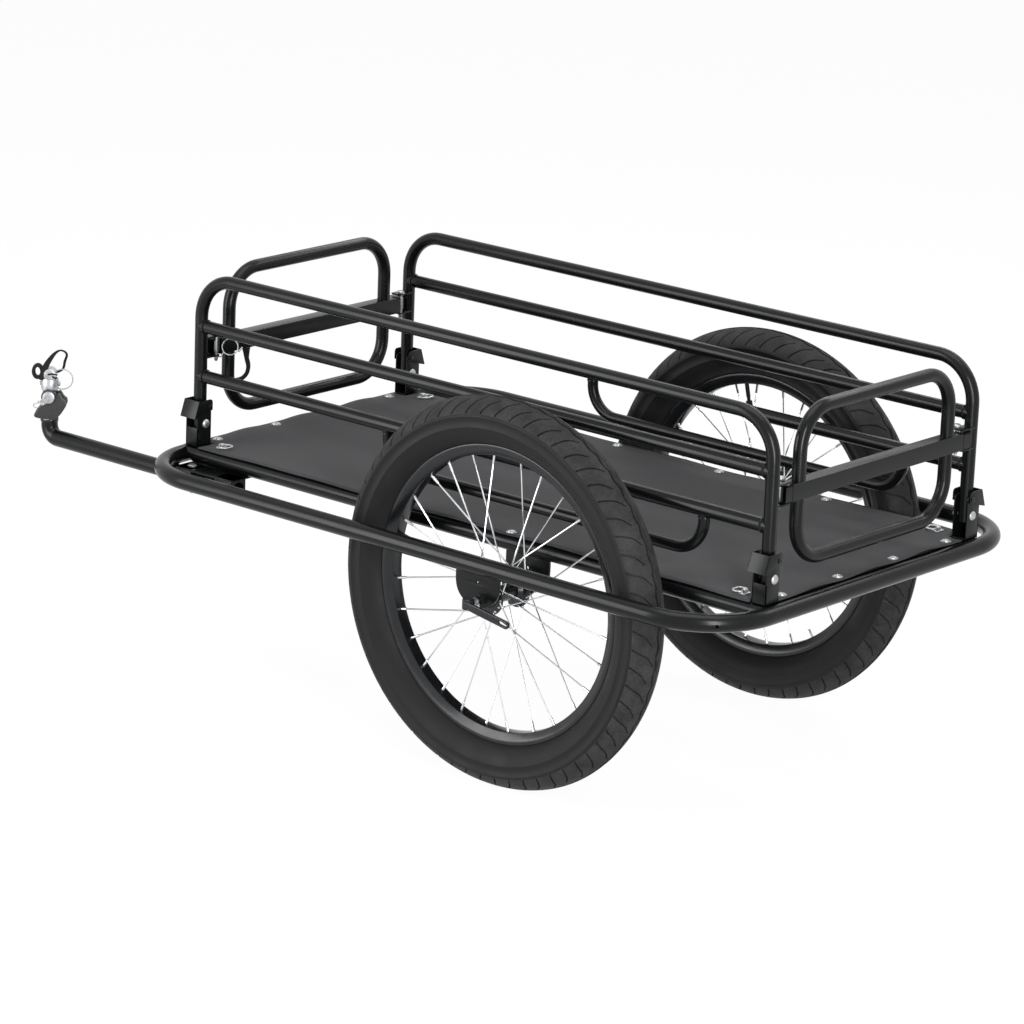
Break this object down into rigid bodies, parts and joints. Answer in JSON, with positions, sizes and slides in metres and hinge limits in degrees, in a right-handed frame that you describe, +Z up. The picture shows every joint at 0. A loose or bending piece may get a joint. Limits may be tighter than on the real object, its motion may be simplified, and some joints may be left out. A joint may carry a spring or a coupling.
{
  "type": "cargo bike trailer",
  "caption": "Two-wheel cargo bike trailer: tubular black frame round a flat deck, fold-down railed sides, pinned end gates, spoked wheels and a bent tow bar with a swivel hitch.",
  "frame": {"origin": "on the ground, under the middle of the overall length and width", "axes": "+X forward to the hitch, +Y to the trailer's left, where the tow bar is, +Z up"},
  "size_m": [1.3782, 0.7412, 0.6025],
  "materials": {
    "black_steel": "satin black powder coat",
    "black_alloy": "black anodised",
    "zinc_steel": "bright zinc plate",
    "spoke_steel": "plain drawn steel",
    "tyre": "moulded rubber",
    "deck_cloth": "coated cloth, dark grey",
    "webbing": "woven webbing, black"
  },
  "bodies": {
    "frame": {"main_loop": "black_steel", "left_deck_rail": "black_steel", "right_deck_rail": "black_steel", "front_cross_tube": "black_steel", "middle_cross_tube": "black_steel", "axle_cross_tube": "black_steel", "rear_cross_tube": "black_steel", "deck_sheet": "deck_cloth", "left_outer_axle_plate": "black_steel", "left_inner_axle_plate": "black_steel", "right_outer_axle_plate": "black_steel", "right_inner_axle_plate": "black_steel", "left_axle": "zinc_steel", "right_axle": "zinc_steel", "front_left_fold_channel": "black_steel", "front_right_fold_channel": "black_steel", "rear_left_fold_channel": "black_steel", "rear_right_fold_channel": "black_steel", "front_left_lashing_saddle": "zinc_steel", "front_right_lashing_saddle": "zinc_steel", "rear_left_lashing_saddle": "zinc_steel", "rear_right_lashing_saddle": "zinc_steel", "tow_bar": "black_steel", "tow_receiver": "black_steel"},
    "left_wheel": {"left_tyre": "tyre", "left_rim": "black_alloy", "left_hub_and_spokes": "spoke_steel"},
    "right_wheel": {"right_tyre": "tyre", "right_rim": "black_alloy", "right_hub_and_spokes": "spoke_steel"},
    "left_lever": {"left_release_lever": "black_alloy"},
    "right_lever": {"right_release_lever": "black_alloy"},
    "left_panel": {"left_panel_hoop": "black_steel", "left_panel_upper_rail": "black_steel", "left_panel_lower_rail_and_guard": "black_steel"},
    "right_panel": {"right_panel_hoop": "black_steel", "right_panel_upper_rail": "black_steel", "right_panel_lower_rail_and_guard": "black_steel"},
    "front_gate": {"front_gate_hoop": "black_steel", "front_gate_bar": "black_steel", "gate_lanyard": "webbing"},
    "rear_gate": {"rear_gate_hoop": "black_steel", "rear_gate_bar": "black_steel"},
    "front_left_pin": {"front_left_gate_pin": "zinc_steel"},
    "front_right_pin": {"front_right_gate_pin": "zinc_steel"},
    "rear_left_pin": {"rear_left_gate_pin": "zinc_steel"},
    "rear_right_pin": {"rear_right_gate_pin": "zinc_steel"},
    "front_left_catch": {"front_left_latch": "black_steel"},
    "front_right_catch": {"front_right_latch": "black_steel"},
    "rear_left_catch": {"rear_left_latch": "black_steel"},
    "rear_right_catch": {"rear_right_latch": "black_steel"},
    "front_left_ring": {"front_left_lashing_ring": "zinc_steel"},
    "front_right_ring": {"front_right_lashing_ring": "zinc_steel"},
    "rear_left_ring": {"rear_left_lashing_ring": "zinc_steel"},
    "rear_right_ring": {"rear_right_lashing_ring": "zinc_steel"},
    "tow_pin": {"tow_bar_pin": "zinc_steel"},
    "hitch_swivel": {"hitch_swivel_block": "black_alloy"},
    "hitch_head": {"hitch_sleeve": "zinc_steel", "safety_strap": "webbing"},
    "pull_pin": {"hitch_pull_pin": "zinc_steel"}
  },
  "joints": [
    {"name": "left_wheel_spin", "type": "hinge", "parent": "frame", "child": "left_wheel", "pos_m": [-0.26339, 0.291, 0.276], "axis": [0, 1, 0], "continuous": true},
    {"name": "right_wheel_spin", "type": "hinge", "parent": "frame", "child": "right_wheel", "pos_m": [-0.26339, -0.291, 0.276], "axis": [0, 1, 0], "continuous": true},
    {"name": "left_release_lever_swing", "type": "hinge", "parent": "frame", "child": "left_lever", "pos_m": [-0.26339, 0.3626, 0.276], "axis": [0, 0, 1], "range_deg": [-150, 0]},
    {"name": "right_release_lever_swing", "type": "hinge", "parent": "frame", "child": "right_lever", "pos_m": [-0.26339, -0.3626, 0.276], "axis": [0, 0, 1], "range_deg": [0, 150]},
    {"name": "left_panel_fold", "type": "hinge", "parent": "frame", "child": "left_panel", "pos_m": [-0.13939, 0.22475, 0.375], "axis": [1, 0, 0], "range_deg": [0, 90]},
    {"name": "right_panel_fold", "type": "hinge", "parent": "frame", "child": "right_panel", "pos_m": [-0.13939, -0.22475, 0.375], "axis": [1, 0, 0], "range_deg": [-77, 0]},
    {"name": "front_gate_slide", "type": "slide", "parent": "frame", "child": "front_gate", "axis": [1, 0, 0], "range_m": [0, 0.631]},
    {"name": "rear_gate_slide", "type": "slide", "parent": "frame", "child": "rear_gate", "axis": [-1, 0, 0], "range_m": [0, 0.631]},
    {"name": "front_left_pin_lift", "type": "slide", "parent": "left_panel", "child": "front_left_pin", "axis": [0, 0, 1], "range_m": [0, 0.045]},
    {"name": "front_right_pin_lift", "type": "slide", "parent": "right_panel", "child": "front_right_pin", "axis": [0, 0, 1], "range_m": [0, 0.045]},
    {"name": "rear_left_pin_lift", "type": "slide", "parent": "left_panel", "child": "rear_left_pin", "axis": [0, 0, 1], "range_m": [0, 0.045]},
    {"name": "rear_right_pin_lift", "type": "slide", "parent": "right_panel", "child": "rear_right_pin", "axis": [0, 0, 1], "range_m": [0, 0.045]},
    {"name": "front_left_latch_tilt", "type": "hinge", "parent": "frame", "child": "front_left_catch", "pos_m": [0.3826, 0.219, 0.40025], "axis": [1, 0, 0], "range_deg": [0, 20], "stiffness_Nm_per_rad": 0.05, "springref_deg": -11.46},
    {"name": "front_right_latch_tilt", "type": "hinge", "parent": "frame", "child": "front_right_catch", "pos_m": [0.3826, -0.219, 0.40025], "axis": [1, 0, 0], "range_deg": [-20, 0], "stiffness_Nm_per_rad": 0.05, "springref_deg": 11.46},
    {"name": "rear_left_latch_tilt", "type": "hinge", "parent": "frame", "child": "rear_left_catch", "pos_m": [-0.66139, 0.219, 0.40025], "axis": [1, 0, 0], "range_deg": [0, 20], "stiffness_Nm_per_rad": 0.05, "springref_deg": -11.46},
    {"name": "rear_right_latch_tilt", "type": "hinge", "parent": "frame", "child": "rear_right_catch", "pos_m": [-0.66139, -0.219, 0.40025], "axis": [1, 0, 0], "range_deg": [-20, 0], "stiffness_Nm_per_rad": 0.05, "springref_deg": 11.46},
    {"name": "front_left_ring_lift", "type": "hinge", "parent": "frame", "child": "front_left_ring", "pos_m": [0.3426, 0.219, 0.3466], "axis": [0, 1, 0], "range_deg": [0, 100]},
    {"name": "front_right_ring_lift", "type": "hinge", "parent": "frame", "child": "front_right_ring", "pos_m": [0.3426, -0.219, 0.3466], "axis": [0, 1, 0], "range_deg": [0, 100]},
    {"name": "rear_left_ring_lift", "type": "hinge", "parent": "frame", "child": "rear_left_ring", "pos_m": [-0.6214, 0.219, 0.3466], "axis": [0, 1, 0], "range_deg": [-100, 0]},
    {"name": "rear_right_ring_lift", "type": "hinge", "parent": "frame", "child": "rear_right_ring", "pos_m": [-0.6214, -0.219, 0.3466], "axis": [0, 1, 0], "range_deg": [-100, 0]},
    {"name": "tow_pin_lift", "type": "slide", "parent": "frame", "child": "tow_pin", "axis": [0, 0, 1], "range_m": [0, 0.06]},
    {"name": "hitch_yaw", "type": "hinge", "parent": "frame", "child": "hitch_swivel", "pos_m": [0.6626, 0.258, 0.34], "axis": [0, 0, 1], "range_deg": [-60, 60]},
    {"name": "hitch_pitch", "type": "hinge", "parent": "hitch_swivel", "child": "hitch_head", "pos_m": [0.6626, 0.258, 0.366], "axis": [-0.6442, 0.7648, 0], "range_deg": [-15, 15]},
    {"name": "pull_pin_slide", "type": "slide", "parent": "hitch_head", "child": "pull_pin", "axis": [-0.7648, -0.6442, 0], "range_m": [0, 0.02]}
  ],
  "couplings": [
    {"joint": "right_panel_fold", "follows": "left_panel_fold", "ratio": -0.85},
    {"joint": "front_gate_slide", "follows": "left_panel_fold", "m_per_rad": 0.40107},
    {"joint": "rear_gate_slide", "follows": "left_panel_fold", "m_per_rad": 0.40107}
  ]
}
